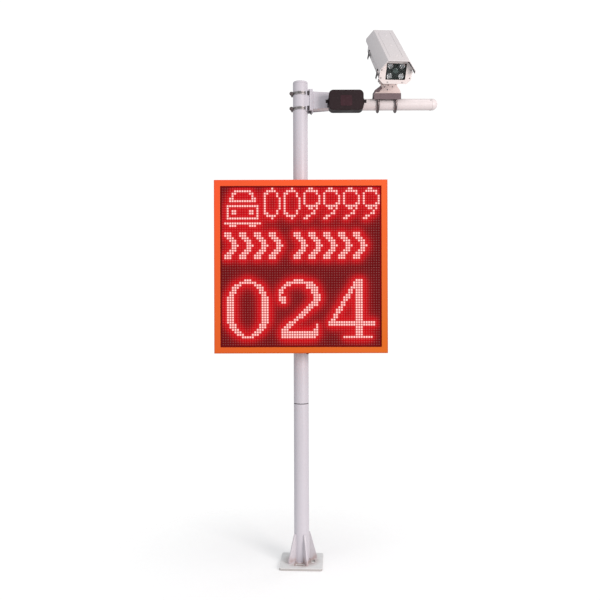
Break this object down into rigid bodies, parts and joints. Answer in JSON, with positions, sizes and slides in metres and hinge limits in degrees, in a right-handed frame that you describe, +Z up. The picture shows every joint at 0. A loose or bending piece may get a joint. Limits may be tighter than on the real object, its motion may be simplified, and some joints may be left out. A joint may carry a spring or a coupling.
{
  "type": "speed sign",
  "caption": "Pole-mounted roadside speed sign: square LED matrix display, radar head and tilting camera on a crossarm, on a flanged steel mast.",
  "frame": {"origin": "centre of the base plate's underside, on the mast's axis", "axes": "+Z up along the mast; the display, radar and camera face -Y; the crossarm runs along +X"},
  "size_m": [0.9291, 0.3634, 2.2891],
  "materials": {
    "mast_paint": "satin powder coat",
    "display_paint": "satin powder coat",
    "zinc_steel": "zinc plated",
    "led_face": "matte",
    "aluminium": "satin",
    "grey_plastic": "matte",
    "unit_case": "satin",
    "black_plastic": "matte",
    "radome": "semi-gloss",
    "circuit_board": "matte",
    "dark_steel": "satin",
    "housing_paint": "white powder coat",
    "clear_glass": "polished",
    "lens_glass": "polished"
  },
  "bodies": {
    "mast": {"base_plate": "mast_paint", "gusset_front_left": "mast_paint", "gusset_front_right": "mast_paint", "gusset_rear_left": "mast_paint", "gusset_rear_right": "mast_paint", "lower_pole": "mast_paint", "upper_pole": "mast_paint", "joint_sleeve": "zinc_steel", "pole_cap": "mast_paint", "handhole_cover": "mast_paint", "bezel": "display_paint", "cabinet_shell": "display_paint", "cable_gland": "black_plastic", "led_module_upper_left": "led_face", "led_module_upper_right": "led_face", "led_module_lower_left": "led_face", "led_module_lower_right": "led_face", "carrier_plate": "aluminium", "power_supply": "unit_case", "display_controller": "circuit_board", "battery_pack": "grey_plastic", "charge_controller": "black_plastic", "terminal_block": "grey_plastic", "rail_top": "mast_paint", "rail_bottom": "mast_paint", "rail_u_bolt_top": "zinc_steel", "rail_u_bolt_bottom": "zinc_steel", "arm_saddle": "mast_paint", "band_clamp_top": "zinc_steel", "band_clamp_bottom": "zinc_steel", "arm_root": "mast_paint", "arm_tube": "mast_paint", "arm_end_cap": "mast_paint", "radar_yoke": "black_plastic", "camera_saddle": "dark_steel", "camera_u_bolt_left": "zinc_steel", "camera_u_bolt_right": "zinc_steel", "pan_nut": "zinc_steel"},
    "door_left": {"door_left": "display_paint"},
    "door_right": {"door_right": "display_paint"},
    "lock_left": {"lock_left": "zinc_steel"},
    "lock_right": {"lock_right": "zinc_steel"},
    "radar_head": {"radar_rear_shell": "black_plastic", "radar_front_cover": "radome", "radar_antenna_board": "circuit_board"},
    "radar_knob_left": {"radar_knob_left": "black_plastic"},
    "radar_knob_right": {"radar_knob_right": "black_plastic"},
    "camera_neck": {"camera_neck": "housing_paint", "tilt_bolt": "zinc_steel"},
    "camera_housing": {"housing_tray": "housing_paint", "front_panel": "housing_paint", "window_glass": "clear_glass", "ir_lamp_board": "black_plastic", "camera_lens": "lens_glass", "camera_module": "grey_plastic", "tilt_bracket": "housing_paint"},
    "housing_lid": {"housing_cover": "housing_paint", "sun_shield": "housing_paint"},
    "latch_front": {"latch_front": "black_plastic"},
    "latch_rear": {"latch_rear": "black_plastic"}
  },
  "joints": [
    {"name": "door_left_swing", "type": "hinge", "parent": "mast", "child": "door_left", "pos_m": [0.328, -0.04, 1.245], "axis": [0, 0, -1], "range_deg": [0, 110]},
    {"name": "door_right_swing", "type": "hinge", "parent": "mast", "child": "door_right", "pos_m": [-0.328, -0.04, 1.245], "axis": [0, 0, 1], "range_deg": [0, 110]},
    {"name": "lock_left_turn", "type": "hinge", "parent": "door_left", "child": "lock_left", "pos_m": [0.078, -0.033, 1.245], "axis": [0, -1, 0], "range_deg": [0, 90]},
    {"name": "lock_right_turn", "type": "hinge", "parent": "door_right", "child": "lock_right", "pos_m": [-0.078, -0.033, 1.245], "axis": [0, 1, 0], "range_deg": [0, 90]},
    {"name": "radar_tilt", "type": "hinge", "parent": "mast", "child": "radar_head", "pos_m": [0.1876, -0.075, 1.927], "axis": [1, 0, 0], "range_deg": [-20, 20]},
    {"name": "radar_knob_left_turn", "type": "hinge", "parent": "mast", "child": "radar_knob_left", "pos_m": [0.1123, -0.075, 1.927], "axis": [-1, 0, 0], "range_deg": [0, 360]},
    {"name": "radar_knob_right_turn", "type": "hinge", "parent": "mast", "child": "radar_knob_right", "pos_m": [0.2629, -0.075, 1.927], "axis": [1, 0, 0], "range_deg": [0, 360]},
    {"name": "camera_pan", "type": "hinge", "parent": "mast", "child": "camera_neck", "pos_m": [0.37, 0, 1.97], "axis": [0, 0, 1], "range_deg": [-50, 50]},
    {"name": "camera_tilt", "type": "hinge", "parent": "camera_neck", "child": "camera_housing", "pos_m": [0.37, 0, 2.035], "axis": [0.9976, 0.0698, 0], "range_deg": [-37.5, 12]},
    {"name": "lid_open", "type": "hinge", "parent": "camera_housing", "child": "housing_lid", "pos_m": [0.44264, -0.04252, 2.09688], "axis": [-0.0553, 0.7914, 0.6088], "range_deg": [0, 95]},
    {"name": "latch_front_swing", "type": "hinge", "parent": "housing_lid", "child": "latch_front", "pos_m": [0.31034, -0.15026, 2.0278], "axis": [-0.0553, 0.7914, 0.6088], "range_deg": [0, 100]},
    {"name": "latch_rear_swing", "type": "hinge", "parent": "housing_lid", "child": "latch_rear", "pos_m": [0.29705, 0.03968, 2.1739], "axis": [-0.0553, 0.7914, 0.6088], "range_deg": [0, 100]}
  ]
}
